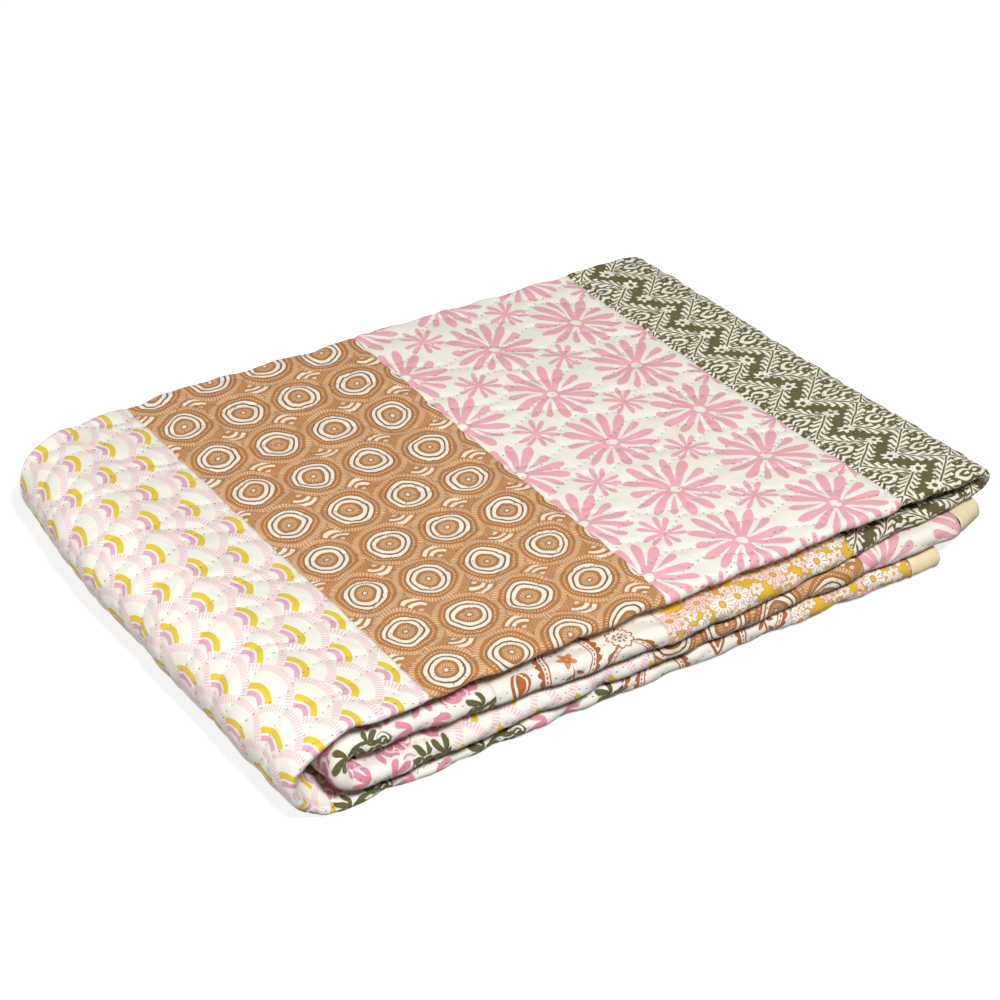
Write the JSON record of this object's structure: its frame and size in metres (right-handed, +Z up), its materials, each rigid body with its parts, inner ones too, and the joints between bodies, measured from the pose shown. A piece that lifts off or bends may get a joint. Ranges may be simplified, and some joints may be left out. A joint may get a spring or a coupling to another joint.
{
  "type": "folded quilted throw",
  "caption": "Patchwork quilted cotton throw with plain bound ends, folded into a flat packet of soft layers that lies on a shelf, bed or table.",
  "frame": {"origin": "middle of the packet's outline, on the surface where it lies", "axes": "+X along the packet's long side, from the rounded outer fold to the side with the bound ends; +Y from the front folds to the back folds; +Z up"},
  "size_m": [0.4772, 0.3442, 0.0631],
  "materials": {
    "quilt_cloth": "matt printed cotton, quilted",
    "binding_cloth": "matt plain cotton"
  },
  "bodies": {
    "root": {"quilt": "quilt_cloth", "binding_lower_end": "binding_cloth", "binding_upper_end": "binding_cloth"}
  },
  "joints": []
}
